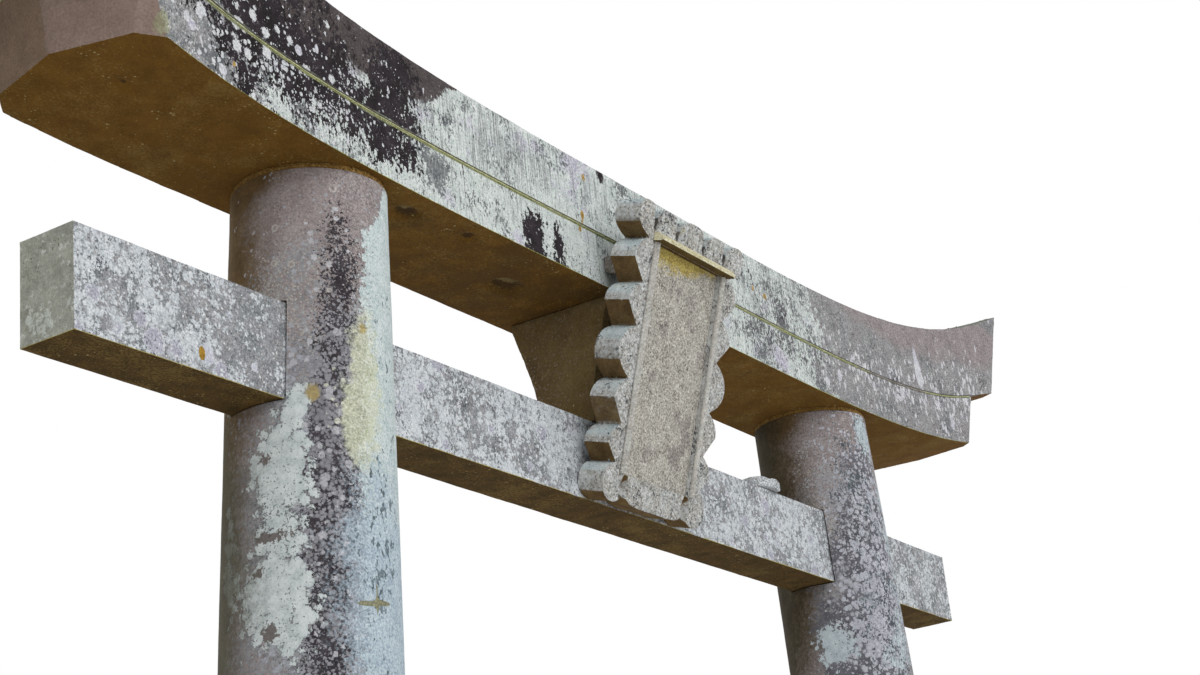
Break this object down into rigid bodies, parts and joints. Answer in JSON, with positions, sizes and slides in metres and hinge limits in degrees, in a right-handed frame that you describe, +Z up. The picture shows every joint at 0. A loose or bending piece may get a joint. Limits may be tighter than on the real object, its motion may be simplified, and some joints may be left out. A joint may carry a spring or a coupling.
{
  "type": "stone torii gate",
  "caption": "Free-standing shrine gate of weathered granite: leaning round pillars, tie beam, upswept double lintel, and a scalloped plaque leaning forward in the middle.",
  "frame": {"origin": "on the ground, under the middle of the lintels, which is 35 mm to the right of the middle between the pillars", "axes": "+X along the beams to the right as seen from the front, +Y to the back, +Z up; the plaque faces -Y"},
  "size_m": [4.8388, 0.86, 3.9246],
  "materials": {
    "pillar_stone": "weathered granite, matt, with pale lichen crusts and dark streaks",
    "beam_stone": "weathered granite, matt, with pale lichen crusts",
    "lintel_stone": "weathered granite, matt, with pale lichen crusts and black streaks; brown underneath",
    "sheltered_stone": "sheltered granite, matt, brown",
    "base_stone": "weathered granite, matt",
    "plaque_stone": "coarse weathered granite, matt",
    "panel_stone": "coarse weathered granite, matt, worn bare",
    "mortar": "lime mortar, matt",
    "lichened_mortar": "lime mortar, matt, grown over with yellow-green lichen",
    "field_stone": "water-worn, matt"
  },
  "bodies": {
    "root": {"left_pillar": "pillar_stone", "right_pillar": "pillar_stone", "left_base_front": "base_stone", "left_base_back": "base_stone", "right_base_front": "base_stone", "right_base_back": "base_stone", "left_head_mortar": "mortar", "right_head_mortar": "mortar", "tie_beam_left_end": "beam_stone", "tie_beam_middle": "beam_stone", "tie_beam_right_end": "beam_stone", "lower_lintel_left": "lintel_stone", "lower_lintel_right": "lintel_stone", "lintel_mortar_left": "lichened_mortar", "lintel_mortar_right": "lichened_mortar", "upper_lintel_left": "lintel_stone", "upper_lintel_right": "lintel_stone", "strut": "sheltered_stone", "plaque_slab": "plaque_stone", "plaque_panel": "panel_stone", "plaque_left_moulding": "plaque_stone", "plaque_right_moulding": "plaque_stone", "plaque_eave": "plaque_stone", "plaque_packings": "mortar", "loose_stone": "field_stone"}
  },
  "joints": []
}
